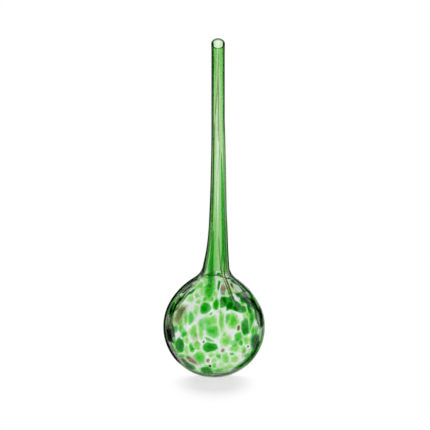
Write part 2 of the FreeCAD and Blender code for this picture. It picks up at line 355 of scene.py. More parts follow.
WHITE = (1.0, 1.0, 1.0)
# The colours of the painted shade and painted light on the glass's edges and mouth
BLACK = (0.010, 0.016, 0.010)
DARK_GREEN = (0.03, 0.26, 0.06)
GREEN = (0.20, 0.60, 0.16)
BRIGHT_GREEN = (0.45, 0.86, 0.34)
OLIVE = (0.34, 0.37, 0.30)
GREY = (0.42, 0.50, 0.44)
MOUTH_RIM_SHADE = (0.22, 0.42, 0.24)

# Painted light and shade where the glass is seen edge on, in bands: black and dark bands of painted shade and
# green bands of painted light, standing in for the dark room and the bright panels seen through the thick
# wall. For levels above the ball's middle, in shares of its radius: the bands on the left and on the right,
# each from a share of the way out to the outline. The last three levels are on the stem.
EDGE_LIGHT_AND_SHADE_BANDS = (
    (-1.05, ((0.95, WHITE), (0.97, GREY), (0.985, WHITE)),
            ((0.94, WHITE), (0.96, OLIVE), (0.975, GREY), (0.99, WHITE))),
    (-0.40, ((0.945, WHITE), (0.965, BLACK)),
            ((0.90, WHITE), (0.925, DARK_GREEN), (0.945, DARK_GREEN), (0.98, BRIGHT_GREEN))),
    (-0.14, ((0.83, WHITE), (0.87, BLACK), (0.93, BLACK), (0.95, OLIVE), (0.98, BLACK)),
            ((0.93, WHITE), (0.96, GREY), (0.985, WHITE))),
    (0.12, ((0.84, WHITE), (0.855, BRIGHT_GREEN), (0.88, OLIVE), (0.95, OLIVE), (0.975, BLACK)),
           ((0.89, WHITE), (0.92, DARK_GREEN), (0.945, BLACK), (0.965, GREEN), (0.985, WHITE))),
    (0.50, ((0.835, WHITE), (0.85, BLACK), (0.87, BLACK), (0.89, BRIGHT_GREEN), (0.95, BRIGHT_GREEN),
            (0.97, BLACK)),
           ((0.835, WHITE), (0.86, DARK_GREEN), (0.90, DARK_GREEN), (0.91, BLACK), (0.93, BLACK),
            (0.95, WHITE))),
    (0.80, ((0.925, WHITE), (0.935, BLACK), (0.945, BRIGHT_GREEN), (0.965, BRIGHT_GREEN), (0.98, BLACK)),
           ((0.925, WHITE), (0.935, DARK_GREEN), (0.95, DARK_GREEN), (0.96, BLACK), (0.98, WHITE))),
    (1.60, ((0.86, WHITE), (0.90, GREEN), (0.95, OLIVE), (0.98, BLACK)),
           ((0.84, WHITE), (0.90, BRIGHT_GREEN), (0.94, DARK_GREEN), (0.975, BLACK))),
    (2.60, ((0.80, WHITE), (0.86, OLIVE), (0.93, DARK_GREEN), (0.97, BLACK)),
           ((0.90, WHITE), (0.95, DARK_GREEN), (0.985, BLACK))),
    (4.60, ((0.77, WHITE), (0.83, GREEN), (0.875, BLACK)),
           ((0.80, WHITE), (0.86, GREEN), (0.92, DARK_GREEN), (0.965, BLACK))),
)
BAND_WANDER = 0.09
BAND_WANDER_SCALE = 42.0
LEVEL_WANDER = 0.3 * GLOBE_RADIUS
LEVEL_WANDER_SCALE = 30.0
LEVEL_BLEND_SHARES = (0.4, 0.6)
LEFT_RIGHT_BLEND = 0.08 * GLOBE_RADIUS
MOUTH_RIM_SHADE_FADE = (-1.1 * MM, -0.5 * MM)

GLASS_IOR = 1.48
BODY_COLOUR = (0.37, 0.12, 0.93)
BODY_DENSITY = 25.0
BUMP_STRENGTH = 0.25
BUMP_HEIGHT = 0.06 * MM
BUMP_SCALE = 90.0


def wander(tree, place, scale, size):
    """A slow noise between minus and plus half the size."""
    return math_node(tree, "MULTIPLY_ADD", noise_node(tree, place, scale), size, -size / 2)


def banded(tree, edge, bands):
    """Colours by how far out towards the outline a place is seen."""
    stops = [(1 - math.sqrt(1 - share * share), colour) for share, colour in bands]
    return colour_ramp(tree, edge, stops)


def painted_edge_light_and_shade(tree, place):
    """Painted shade and painted light on the glass where it is seen edge on, for a place on the ball, the stem
    and the mouth.
    """
    facing = new_node(tree, "LayerWeight", {"Blend": 0.5})["Facing"]
    edge = math_node(tree, "ADD", facing, wander(tree, place, BAND_WANDER_SCALE, BAND_WANDER))
    x, y, z = new_node(tree, "SeparateXYZ", {0: place})
    lean = soft_step(tree, z, SEAM_HEIGHT, 2 * SEAM_HEIGHT)
    across = math_node(tree, "MULTIPLY_ADD", lean, -STEM_LEAN, x)
    sideways = soft_step(tree, across, -LEFT_RIGHT_BLEND, LEFT_RIGHT_BLEND)
    height = math_node(tree, "ADD", z, wander(tree, place, LEVEL_WANDER_SCALE, LEVEL_WANDER))
    colour = None
    for level, left, right in EDGE_LIGHT_AND_SHADE_BANDS:
        here = mixed(tree, sideways, banded(tree, edge, left), banded(tree, edge, right))
        if colour is not None:
            limits = [GLOBE_RADIUS * (1 + last_level + (level - last_level) * share)
                      for share in LEVEL_BLEND_SHARES]
            here = mixed(tree, soft_step(tree, height, *limits), colour, here)
        colour, last_level = here, level
    # A dark green band of painted shade along the mouth's cut rim
    rise = math_node(tree, "MULTIPLY_ADD", y, -math.tan(MOUTH_SLANT), z)
    mouth = soft_step(tree, rise, *(MOUTH_MIDDLE + fade for fade in MOUTH_RIM_SHADE_FADE))
    return mixed(tree, mouth, colour, MOUTH_RIM_SHADE)


def absorbing(tree, colour, density):
    return new_node(tree, "VolumeAbsorption", {"Color": colour, "Density": density})["Volume"]


def clear_glass():
    """The vessel's clear glass, with a faint lilac body, a slow uneven surface, and painted light and shade
    where it is seen edge on.
    """
    material, tree = empty_material("clear_glass")
    place = coordinates(tree, "Object")
    swelling = noise_node(tree, place, BUMP_SCALE)
    bump = new_node(tree, "Bump", {"Strength": BUMP_STRENGTH, "Distance": BUMP_HEIGHT, "Height": swelling})
    glass = new_node(tree, "BsdfGlass", {"IOR": GLASS_IOR, "Roughness": 0.0, "Normal": bump["Normal"],
                                         "Color": painted_edge_light_and_shade(tree, place)})
    body = absorbing(tree, BODY_COLOUR, BODY_DENSITY)
    new_node(tree, "OutputMaterial", {"Surface": glass["BSDF"], "Volume": body})
    return material


def tint_material(name, colour, density):
    """Coloured glass inside the clear glass: no surface of its own to bend light, only its body colour."""
    material, tree = empty_material(name)
    surface = new_node(tree, "BsdfTransparent", {})["BSDF"]
    new_node(tree, "OutputMaterial", {"Surface": surface, "Volume": absorbing(tree, colour, density)})
    return material


CLEAR = clear_glass()
STEM_GREEN = tint_material("stem_green_glass", (0.25, 0.80, 0.0), 1000.0)
DEEP_GREEN = tint_material("deep_green_glass", (0.03, 0.80, 0.0), 4600.0)
MID_GREEN = tint_material("mid_green_glass", (0.07, 0.83, 0.0), 2800.0)
PALE_GREEN = tint_material("pale_green_glass", (0.33, 0.89, 0.0), 1700.0)
MAUVE = tint_material("mauve_glass", (0.42, 0.22, 0.0), 1250.0)
SEAM_GREEN = tint_material("seam_glass", (0.05, 0.45, 0.05), 2600.0)
BROWN = tint_material("brown_glass", (0.47, 0.41, 0.0), 4800.0)


# The clear skin: outside, rounded rim and inside as one closed surface


def skin_rows():
    outer, inner = [], []
    for station in STATIONS:
        angles = turns(1 if station[0] < POLE_RADIUS else ROUND)
        outer.append([skin_point(station, angle) for angle in angles])
        inner.append([skin_point(station, angle, inner_depth(station, angle)) for angle in angles])
    wall = WALL_THICKNESSES[-1]
    for step in range(LIP_STEPS + 1):
        outer.append(lip_row(step / LIP_STEPS, lambda height, angle: 0))
        inner.append(lip_row(step / LIP_STEPS, lambda height, angle: wall))
    rim = []
    for step in range(1, RIM_STEPS):
        turn = math.pi * step / RIM_STEPS
        row = []
        for angle in turns(ROUND):
            top = rim_start(angle)
            middle = lip_radius(top) - wall / 2
            row.append(ring_point(middle + wall / 2 * math.cos(turn), top + RIM_RISE * math.sin(turn), angle))
        rim.append(row)
    return outer + rim + inner[::-1]


new_piece("glass_skin", *grid_mesh(skin_rows()), CLEAR, "clear_glass", ("globe_wall",))


# The stem's green body: a closed layer in the wall, thinner and thicker in stripes

# Soft stripes all round: how strong, how fine round the stem, how long, and a seed
STRIPE_NOISES = ((0.75, 2.6, 110.0 * MM, 0.0), (0.45, 7.0, 150.0 * MM, 7.0))
STRIPE_TWIST = 0.5
STRIPE_LIMITS = (0.06, 1.75)

# Paler stripes of the stem, where its green glass is thinner; the narrow ones beside the mauve thread high up,
# at -7, -16 and -31 degrees, are painted highlights. Each: height as a share of the stem's length above the
# seam, degrees from the front towards +X, half width in degrees, half height as a share, and how clear the
# stripe is
PALE_STRIPES_AND_HIGHLIGHTS = (
    (0.36, 1, 6, 0.18, 0.97), (0.36, 180, 7, 0.18, 0.97), (0.50, -9, 14, 0.20, 0.75),
    (0.30, -8, 12, 0.22, 0.6), (0.87, -7, 6, 0.08, 0.8), (0.72, -16, 7, 0.08, 0.95),
    (0.61, -31, 7, 0.08, 0.8), (0.80, 14, 8, 0.20, 0.6), (0.03, -44, 10, 0.20, 0.75),
    (0.03, 8, 10, 0.22, 0.75), (0.75, 195, 16, 0.22, 0.7), (1.00, 180, 62, 0.05, 0.9),
    (0.90, -1, 6, 0.09, 0.95), (0.90, 180, 8, 0.09, 0.95),
)

# How the stem's green runs thicker and thinner along it
STEM_GLASS_HEIGHTS = (0.0, 0.08, 0.20, 0.40, 0.55, 0.70, 0.80, 0.90, 1.0)
STEM_GLASS_SHARES = (0.51, 0.72, 0.84, 0.80, 0.90, 0.98, 1.08, 1.60, 1.75)
STEM_LAYER_SHARE = 0.57
STEM_LAYER_MARGIN = 0.12 * MM
STEM_LAYER_START = SEAM_HEIGHT + 0.4 * MM
STEM_LAYER_FADE = (SEAM_HEIGHT - 1.0 * MM, SEAM_HEIGHT + 6.0 * MM)
STEM_LIP_SHARES = (0.0, 0.3, 0.6, 0.85, 1.0)


def striations(height, angle):
    """How much green glass there is round the stem, in stripes drawn out along it: 1 on the average."""
    twist = angle + STRIPE_TWIST * smooth(SEAM_HEIGHT, OVERALL_HEIGHT, height)
    amount = 1.0
    for strength, fineness, length, seed in STRIPE_NOISES:
        place = Vector((fineness * math.sin(twist), fineness * math.cos(twist), height / length + seed))
        amount += strength * noise.noise(place)
    height_share = (height - SEAM_HEIGHT) / STEM_LENGTH
    # Paler stripes thin the green glass; some of them are painted highlights
    for middle, degrees, half_width, half_height, strength in PALE_STRIPES_AND_HIGHLIGHTS:
        gap = math.remainder(angle - math.radians(degrees), 2 * math.pi) / math.radians(half_width)
        rise = (height_share - middle) / half_height
        amount *= 1 - strength * math.exp(-gap * gap - rise * rise)
    amount *= table_value(STEM_GLASS_HEIGHTS, STEM_GLASS_SHARES, height_share)
    least, most = STRIPE_LIMITS
    return min(max(amount, least), most)


def stem_glass_depth(height, angle, wall):
    """How deep the green glass reaches into a wall of this thickness."""
    room = wall - 2 * STEM_LAYER_MARGIN
    share = STEM_LAYER_SHARE * striations(height, angle) * smooth(*STEM_LAYER_FADE, height)
    return STEM_LAYER_MARGIN + room * min(share, 1.0)


def stem_layer():
    outer, inner = [], []
    for station in STATIONS:
        if station[1] <= STEM_LAYER_START:
            continue
        outer.append([skin_point(station, angle, STEM_LAYER_MARGIN) for angle in turns(ROUND)])
        row = []
        for angle in turns(ROUND):
            depth = stem_glass_depth(station[1], angle, inner_depth(station, angle))
            row.append(skin_point(station, angle, depth))
        inner.append(row)
    wall = WALL_THICKNESSES[-1]
    for share in STEM_LIP_SHARES:
        outer.append(lip_row(share, lambda height, angle: STEM_LAYER_MARGIN))
        inner.append(lip_row(share, lambda height, angle: stem_glass_depth(height, angle, wall)))
    return outer + inner[::-1]


new_piece("stem_green_layer", *grid_mesh(stem_layer(), close_rows=True), STEM_GREEN, "stem_green_glass",
          ("stem_tube", "stem_taper"))


# The dark line where the stem was joined on: a thin lens all the way round

SEAM_LIFT = 2.4 * MM
SEAM_HALF_HEIGHT = 0.3 * MM
SEAM_DEPTH = 0.5 * MM
SEAM_HALF_THICKNESS = 0.25 * MM
SEAM_SAG = 0.5 * MM
SEAM_SAG_FINENESS = 1.5
SEAM_SEED = 2.0
SEAM_STEPS = 12


def seam_layer():
    rows = []
    for turn in turns(SEAM_STEPS):
        row = []
        for angle in turns(ROUND):
            place = Vector((math.sin(angle), math.cos(angle), SEAM_SEED)) * SEAM_SAG_FINENESS
            middle = SEAM_HEIGHT + SEAM_LIFT + SEAM_SAG * noise.noise(place)
            station = outside_at(middle + SEAM_HALF_HEIGHT * math.sin(turn))
            row.append(skin_point(station, angle, SEAM_DEPTH - SEAM_HALF_THICKNESS * math.cos(turn)))
        rows.append(row)
    return rows


new_piece("seam_line", *grid_mesh(seam_layer(), close_rows=True), SEAM_GREEN, "seam_glass",
          ("neck_seam_ring",))


# Canes and threads of coloured glass, drawn out along the stem and over the shoulder

# For each piece: its glass, its slot, the solids it stands for, and its strands. A strand has its thickness
# in millimetres and a path of heights, as shares of the stem's length above the seam, degrees round from the
# front towards +X, and half widths in millimetres.
STRANDS = (
    ("mauve_threads", MAUVE, "mauve_glass", ("stem_mauve_threads",), (
        (1.05, ((0.955, 1, 0.60), (0.85, -1, 0.60), (0.77, -9, 0.60), (0.71, -20, 0.55),
                (0.67, -30, 0.55))),
        (1.3, ((0.67, -31, 0.55), (0.60, -38, 0.60), (0.49, -42, 0.65), (0.28, -41, 0.65),
                (0.14, -43, 0.55))),
        (1.3, ((0.86, 3, 0.40), (0.72, 2, 0.50), (0.56, -2, 0.45))),
        (0.9, ((0.17, 4, 0.50), (0.07, 16, 0.60), (0.01, 24, 0.75), (-0.045, 23, 0.80), (-0.09, 25, 0.50))),
        (0.4, ((0.85, 150, 0.50), (0.50, 175, 0.55), (0.12, 205, 0.55))),
    )),
    ("deep_canes", DEEP_GREEN, "deep_green_glass", ("stem_deep_green_streaks",), (
        (0.50, ((0.53, 25, 0.6), (0.40, 30, 1.2), (0.21, 33, 1.7), (0.09, 37, 2.0), (0.04, 42, 1.6))),
        (0.70, ((0.20, -31, 0.8), (0.15, -31, 1.5), (0.08, -27, 2.1), (0.01, -20, 3.0), (-0.045, -9, 2.4))),
        (0.32, ((0.45, 120, 0.7), (0.20, 130, 1.3), (-0.03, 145, 1.6))),
        (0.32, ((0.62, 235, 0.7), (0.30, 243, 1.2), (0.07, 250, 1.5))),
    )),
    ("pale_canes", PALE_GREEN, "pale_green_glass", ("stem_pale_streaks",), (
        (0.18, ((0.90, -20, 0.7), (0.66, -30, 0.9))),
        (0.18, ((0.56, -12, 0.9), (0.20, -8, 1.0))),
        (0.18, ((0.88, 195, 0.8), (0.25, 228, 1.0))),
    )),
    ("olive_canes", BROWN, "brown_glass", (), (
        (0.60, ((0.09, 40, 0.5), (0.05, 40, 0.7), (0.00, 33, 0.9), (-0.035, 28, 1.0), (-0.075, 27, 0.9),
                (-0.11, 31, 0.6))),
        (0.50, ((-0.02, 25, 0.4), (-0.06, 23, 0.5), (-0.10, 24, 0.4))),
    )),
)
STRAND_TOP_DEPTH = 0.2 * MM
STRAND_LEAST_STEPS = 12
STRAND_STEPS_PER_STEM = 110
STRAND_HALF_COUNT = 6
STRAND_END_BLUNTNESS = 8
STRAND_EDGE_BLUNTNESS = 4


def strand_rows(thickness, path):
    """Rings of one strand's lens-shaped section, from a point at its foot to a point at its top."""
    shares, degrees, widths = zip(*path[::-1])
    length = shares[-1] - shares[0]
    steps = max(STRAND_LEAST_STEPS, int(length * STRAND_STEPS_PER_STEM))
    section = [side / STRAND_HALF_COUNT for side in range(-STRAND_HALF_COUNT, STRAND_HALF_COUNT + 1)]
    rows = []
    for step in range(steps + 1):
        along = step / steps
        share = shares[0] + length * along
        station = outside_at(SEAM_HEIGHT + share * STEM_LENGTH)
        angle = math.radians(table_value(shares, degrees, share))
        end = math.sqrt(max(1 - abs(2 * along - 1) ** STRAND_END_BLUNTNESS, 0.0))
        if end == 0:
            rows.append([skin_point(station, angle, STRAND_TOP_DEPTH + thickness / 2)])
            continue
        half_turn = table_value(shares, widths, share) * MM * end / station[0]
        row = [skin_point(station, angle + s * half_turn, STRAND_TOP_DEPTH) for s in section]
        for s in section[-2:0:-1]:
            depth = STRAND_TOP_DEPTH + thickness * (1 - s ** STRAND_EDGE_BLUNTNESS) * end
            row.append(skin_point(station, angle + s * half_turn, depth))
        rows.append(row)
    return rows


def build_strands():
    for name, material, slot, nodes, strands in STRANDS:
        vertices, faces = [], []
        for thickness, path in strands:
            more, more_faces = grid_mesh(strand_rows(thickness * MM, path))
            faces.extend(tuple(index + len(vertices) for index in face) for face in more_faces)
            vertices.extend(more)
        new_piece(name, vertices, faces, material, slot, nodes)


build_strands()


# A thin uneven film of pale green glass just under the outside of the whole ball, thicker on its shoulder

VEIL_DEPTH = 0.07 * MM
VEIL_THICKNESS = 0.045 * MM
# How strong, how fine, and a seed
VEIL_NOISES = ((1.8, 3.1, 0.0), (1.3, 8.0, 4.0))
VEIL_ON_SHOULDER = 2.5
VEIL_SHOULDER = (1.75 * GLOBE_RADIUS, 2.0 * GLOBE_RADIUS)
VEIL_LIMITS = (0.1, 4.0)


def veil_depth(height, angle):
    """How deep the film's inner side lies."""
    toward = Vector((math.sin(angle), -math.cos(angle), height / GLOBE_RADIUS - 1))
    amount = 1.0
    for strength, fineness, seed in VEIL_NOISES:
        amount += strength * noise.noise(toward * fineness + Vector((seed, 0, 0)))
    amount *= 1 + VEIL_ON_SHOULDER * smooth(*VEIL_SHOULDER, height)
    least, most = VEIL_LIMITS
    return VEIL_DEPTH + VEIL_THICKNESS * min(max(amount, least), most)


def veil_rows():
    outer, inner = [], []
    for station in STATIONS[::2]:
        if station[1] > SEAM_HEIGHT:
            break
        angles = turns(1 if station[0] < POLE_RADIUS else ROUND)
        outer.append([skin_point(station, angle, VEIL_DEPTH) for angle in angles])
        inner.append([skin_point(station, angle, veil_depth(station[1], angle)) for angle in angles])
    return outer + inner[::-1]


new_piece("pale_veil", *grid_mesh(veil_rows()), PALE_GREEN, "pale_green_glass")


# The melted-in chips: each is a thin lens that grows from its solid's place until it meets its neighbours

# For each kind of chip: its glass, how far it outgrows its solid, its thickness, and how sharp its edge is
CHIP_KINDS = {
    "deep_green": (DEEP_GREEN, 1.30, 0.95 * MM, 4.0),
    "mid_green": (MID_GREEN, 1.68, 0.80 * MM, 2.3),
    "pale_green": (PALE_GREEN, 2.00, 0.85 * MM, 2.0),
    "mauve": (MAUVE, 1.20, 1.00 * MM, 5.0),
    "brown": (BROWN, 1.15, 0.80 * MM, 4.0),
}
CHIP_TOP_DEPTH = 0.25 * MM
WELD_SIZE = 0.001 * MM
OUT_OF_REACH = 9.0

# The clear veins between neighbours, in shares of a chip's half size, and how near a neighbour has to be
VEIN_SHARE = 0.13
DEEP_VEIN_SHARE = 0.02
NEIGHBOUR_COSINE = 0.5

# A chip's lobes: how strong, how fine, and a seed
LOBE_NOISES = ((0.26, 1.3, 0.0), (0.20, 3.5, 9.0))
LEAST_REACH = 0.12
REACH_STEPS = 24
SPOKES = 28
RINGS = 7
MOTTLE = 0.45
MOTTLE_FINENESS = 14.0
LENS_SINK_SHARE = 0.6

# Chips are thinner on the far side and low on the ball: by how much, and where in shares of the radius
FAR_THINNING = 0.75
FAR_SIDE_SHARES = (0.1, 0.6)
LOW_THINNING = 0.45
LOW_DOWN_SHARES = (0.3, 0.7)
THINNED_LOW_DOWN = ("mid_green", "pale_green")


def skin_distance(toward):
    """How far the outside is from the ball's centre in a direction, on the ball and on its shoulder."""
    rise = math.asin(max(min(toward.dot(NECK_AXIS), 1.0), -1.0)) - SHOULDER_LEAVE
    if rise <= 0:
        return GLOBE_RADIUS
    offset = SHOULDER_RADIUS - GLOBE_RADIUS
    return math.sqrt(SHOULDER_RADIUS ** 2 - (offset * math.sin(rise)) ** 2) - offset * math.cos(rise)


def loose_parts(node):
    """The separate solids of a node, each as its corner points."""
    mesh = node.data
    keys = [tuple(round(c / WELD_SIZE) for c in vertex.co) for vertex in mesh.vertices]
    parent = {key: key for key in keys}

    def root(key):
        while parent[key] != key:
            parent[key] = parent[parent[key]]
            key = parent[key]
        return key

    for polygon in mesh.polygons:
        first, *others = [root(keys[index]) for index in polygon.vertices]
        for other in others:
            parent[root(other)] = root(first)
    groups = {}
    for key, vertex in zip(keys, mesh.vertices):
        groups.setdefault(root(key), {})[key] = vertex.co.copy()
    return [list(points.values()) for _, points in sorted(groups.items())]


class Chip:
    """A chip's place on the skin, its long and short ways, and their half sizes."""

    def __init__(self, toward, long_way, half_length, half_width, kind=None):
        self.toward = toward.normalized()
        self.long_way = (long_way - self.toward * long_way.dot(self.toward)).normalized()
        self.short_way = self.toward.cross(self.long_way)
        self.sizes = (half_length, half_width)
        self.kind = kind
        self.seed = random.uniform(0, 100)

    def distance(self, point):
        """1 on the chip's own oval, more outside it."""
        if point.dot(self.toward) <= 0:
            return OUT_OF_REACH
        return math.hypot(point.dot(self.long_way) / self.sizes[0], point.dot(self.short_way) / self.sizes[1])

    def reach(self, angle, neighbours):
        """How far the chip spreads in one direction before its own oval or a neighbour stops it."""
        across, up = math.cos(angle), math.sin(angle)
        way = self.long_way * (across * self.sizes[0]) + self.short_way * (up * self.sizes[1])
        uneven = 1.0
        for strength, fineness, seed in LOBE_NOISES:
            uneven += strength * noise.noise(Vector((across * fineness, up * fineness, self.seed + seed)))
        for step in range(1, REACH_STEPS + 1):
            share = uneven * step / REACH_STEPS
            point = self.toward * GLOBE_RADIUS + way * share
            for other, vein in neighbours:
                if other.distance(point) < share + vein:
                    return way * max(share - uneven / REACH_STEPS, LEAST_REACH)
        return way * uneven

    def lens_point(self, offset, share, side, top_depth, thickness, sharpness):
        toward = (self.toward * GLOBE_RADIUS + offset).normalized()
        mottle = 1 + MOTTLE * noise.noise(toward * MOTTLE_FINENESS + Vector((self.seed, 0, 0)))
        half = thickness / 2 * (1 - share ** sharpness) * mottle
        wall_share = wall_at(GLOBE_RADIUS * (1 + toward.z)) / wall_at(GLOBE_RADIUS)
        middle = skin_distance(toward) - top_depth * wall_share - LENS_SINK_SHARE * thickness
        return BALL_CENTRE + toward * (middle - side * half)


def chip_of_solid(points, kind, growth):
    middle = sum(points, Vector()) / len(points) - BALL_CENTRE
    toward = middle.normalized()
    level = Vector((0, 0, 1)).cross(toward).normalized()
    uphill = toward.cross(level)
    offsets = [p - BALL_CENTRE - middle for p in points]
    flat = [(offset.dot(level), offset.dot(uphill)) for offset in offsets]
    xx = sum(x * x for x, _ in flat)
    yy = sum(y * y for _, y in flat)
    xy = sum(x * y for x, y in flat)
    turn = math.atan2(2 * xy, xx - yy) / 2
    long_way = level * math.cos(turn) + uphill * math.sin(turn)
    short_way = uphill * math.cos(turn) - level * math.sin(turn)
    half_length = max(abs(offset.dot(long_way)) for offset in offsets)
    half_width = max(abs(offset.dot(short_way)) for offset in offsets)
    return Chip(toward, long_way, half_length * growth, half_width * growth, kind)


def add_lens(mesh, chip, ways, top_depth, thickness, sharpness):
    """Adds one closed lens to a mesh: its outer side, then its inner side, joined along the rim."""
    vertices, faces = mesh
    count = len(ways)
    base = len(vertices)

    def rim(ring, spoke, side):
        on_inner_side = side > 0 and ring < RINGS
        start = base + (1 + RINGS * count if on_inner_side else 0)
        return start + 1 + (ring - 1) * count + spoke % count

    for side in (-1, 1):
        vertices.append(chip.lens_point(Vector(), 0.0, side, top_depth, thickness, sharpness))
        last = RINGS if side < 0 else RINGS - 1
        for share in [ring / RINGS for ring in range(1, last + 1)]:
            for way in ways:
                vertices.append(chip.lens_point(way * share, share, side, top_depth, thickness, sharpness))
    for side in (-1, 1):
        pole = base if side < 0 else base + 1 + RINGS * count
        for spoke in range(count):
            corners = (pole, rim(1, spoke, side), rim(1, spoke + 1, side))
            faces.append(corners if side < 0 else corners[::-1])
            for ring in range(1, RINGS):
                corners = (rim(ring, spoke, side), rim(ring + 1, spoke, side),
                           rim(ring + 1, spoke + 1, side), rim(ring, spoke + 1, side))
                faces.append(corners if side < 0 else corners[::-1])


def grown_ways(chip, chips, vein_of):
    """How far the chip spreads on each spoke, with a clear vein to each neighbour."""
    neighbours = [(other, vein_of(chip, other)) for other in chips
                  if other is not chip and other.toward.dot(chip.toward) > NEIGHBOUR_COSINE]
    return [chip.reach(turn, neighbours) for turn in turns(SPOKES)]


def chip_vein(chip, other):
    return DEEP_VEIN_SHARE if chip.kind == other.kind == "deep_green" else VEIN_SHARE


def thickness_share(chip):
    """Chips on the far side are thin, to keep the front pattern clear, and so are the light ones low down."""
    share = 1 - FAR_THINNING * smooth(*FAR_SIDE_SHARES, chip.toward.y)
    if chip.kind in THINNED_LOW_DOWN:
        share *= 1 - LOW_THINNING * smooth(*LOW_DOWN_SHARES, -chip.toward.z)
    return share


def build_chips():
    chips = []
    for kind, (_, growth, _, _) in CHIP_KINDS.items():
        for points in loose_parts(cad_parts[kind + "_chips"]):
            chips.append(chip_of_solid(points, kind, growth))
    for kind, (material, _, thickness, sharpness) in CHIP_KINDS.items():
        mesh = ([], [])
        for chip in chips:
            if chip.kind == kind:
                ways = grown_ways(chip, chips, chip_vein)
                add_lens(mesh, chip, ways, CHIP_TOP_DEPTH, thickness * thickness_share(chip), sharpness)
        new_piece(kind + "_frit", *mesh, material, kind + "_glass", (kind + "_chips",))


build_chips()


# Soft patches of coloured glass under the chips, three of which together paint a reflection on the ball's left

# Broad pale ones. Each stands once on the front and once behind it. In hundredths of the ball's radius as seen
# from the front: across, up, half length and half width. Then its tilt in degrees, and how much glass it has.
PEBBLE_AND_REFLECTION_OVALS = (
    (-11, 73, 20, 14, 95, 1.9),
    (15, 93, 9, 8, 0, 0.5),
    (34, 13.5, 19.5, 13.5, 95, 1.2),
    (14.7, 13, 22, 5.5, 90, 0.6),
    (-4, 4.5, 25.5, 13.5, 90, 0.8),
    (-29, -3, 20, 7.5, 98, 0.35),
    (-40, -6, 16, 8, 105, 0.6),
    (-46, 18, 17, 6, 84, 0.5),
    (-61, 12, 15, 6, 78, 0.4),
    (-57, -16, 11, 7, 62, 0.8),
    (-34, -35, 9, 7, 100, 0.8),
    (-45, -40, 11, 6, 118, 0.9),
    (-28, -59, 14, 12, 120, 1),
    (6, -57, 10.5, 7, 50, 0.7),
    (-6, -55, 6, 5, 0, 0.7),
    (23.5, -62, 13, 9, 100, 0.5),
    (40, -62, 8.5, 7.5, 0, 0.5),
    (24, -25, 12.5, 10, 100, 0.5),
    (49, -21, 15, 10, 110, 0.7),
    (40, -40, 11, 8, 20, 0.3),
    (63, -27, 9, 5.5, 90, 0.7),
    (56, -45, 12, 7, 65, 0.35),
    (23, -76, 15, 5.5, 5, 0.3),
    (6, -83, 12, 5.5, -5, 0.4),
    (48, -77, 14, 5, 28, 0.4),
    (0, -72, 7, 6, 0, 0.4),
    (-76, -36, 17, 6, 100, 1.6),
    (-74, 0, 11, 6, 60, 1),
    (-30, 36, 10, 5, 80, 0.3),
    (3, 48, 12, 10, 80, 1.8),
    (-20, 54, 7, 6, 20, 1),
    (-14, 25, 8, 4, 40, 0.5),
    (12, 34, 8, 4, 20, 0.6),
    (-49, 60, 13, 5, 48, 0.4),
    (-30, 68, 11, 5, 70, 0.4),
    (58, 48, 11, 7, 130, 1),
    (35, 69, 10, 6, 150, 0.7),
    (72, 25, 18, 7, 100, 1.5),
    (80, -4, 13, 6, 95, 1.2),
    (80, -52, 14, 6, 60, 1.6),
    (70, -63, 12, 5, 45, 1.4),
    (-60, -60, 11, 6, -40, 1),
    (-3, -93, 12, 4, 0, 0.8),
    (-30, 84, 16, 7, 40, 1),
    (-17, 95, 10, 6, 80, 1.2),
    (12, 98, 10, 6, 90, 1),
    (33, 80, 13, 6, 140, 1),
    (2, 66, 11, 5, 95, 1.2),
    # This one is part of the painted reflection on the ball's left, with the first mauve and the first brown
    # oval.
    (-72, 24, 28, 11, 66, 0.8),
)
PEBBLE_THICKNESS = 0.42 * MM
PEBBLE_TOP_DEPTH = 1.35 * MM
PEBBLE_VEIN_SHARE = 0.07
PEBBLE_SHARPNESS = 2.6

# More of them on an even spiral round the sides, where no other stands
SIDE_PEBBLE_COUNT = 150
SIDE_PEBBLE_SIZE = 6.4 * MM
SIDE_PEBBLE_WIDTH_SHARE = 0.75
SIDE_PEBBLE_SLANT = 0.5
SIDE_PEBBLE_AMOUNT = 1.3
SIDE_LIMIT_SHARE = 0.50
TOP_LIMIT_SHARE = 0.86
# For the size and for the glass of each: how much they vary, and the radians from one to the next
SIZE_SWING = (0.2, 2.3)
AMOUNT_SWING = (0.7, 1.7)

# Deep green ones on the front, given as the pale ones are
DEEP_OVALS = (
    (3.5, 47, 11, 7, 80, 0.25),
    (-8, -34, 13, 13, 0, 0.15),
    (-15.5, -86, 15, 11, -10, 0.4),
    (83, -29, 18, 8, 90, 0.9),
    (-68.5, -35, 16.5, 9, 86, 0.5),
    (-50, -75.5, 15, 5.5, -34, 0.8),
    (85, -5, 9, 4, 90, 0.5),
    (64, 1, 19, 9.5, 90, 0.4),
    (76, 26, 20, 4, 100, 0.5),
    (70, 42, 12, 3, 118, 0.5),
    (-3, 100, 12, 6, 90, 0.4),
)

# One large deep green patch of chips that ran together: its outline in the same view, anticlockwise
FUSED_OUTLINE = (
    (11, 60), (13.5, 50), (21.5, 43), (30.5, 37.5), (43, 33), (56.5, 28.5),
    (64, 31), (58, 43), (48, 54), (37.5, 59), (23, 64),
)

# Greyish mauve ones, given in the same way. The first is the grey-brown painted reflection on the ball's left.
MAUVE_AND_REFLECTION_OVALS = (
    (-70, 25, 30, 12, 66, 0.6),
    (-62, -64, 12, 4, -38, 0.9),
    (-42.7, -66, 16.5, 8, -38, 0.45),
    (18, 74, 10, 6.5, 95, 0.5),
)

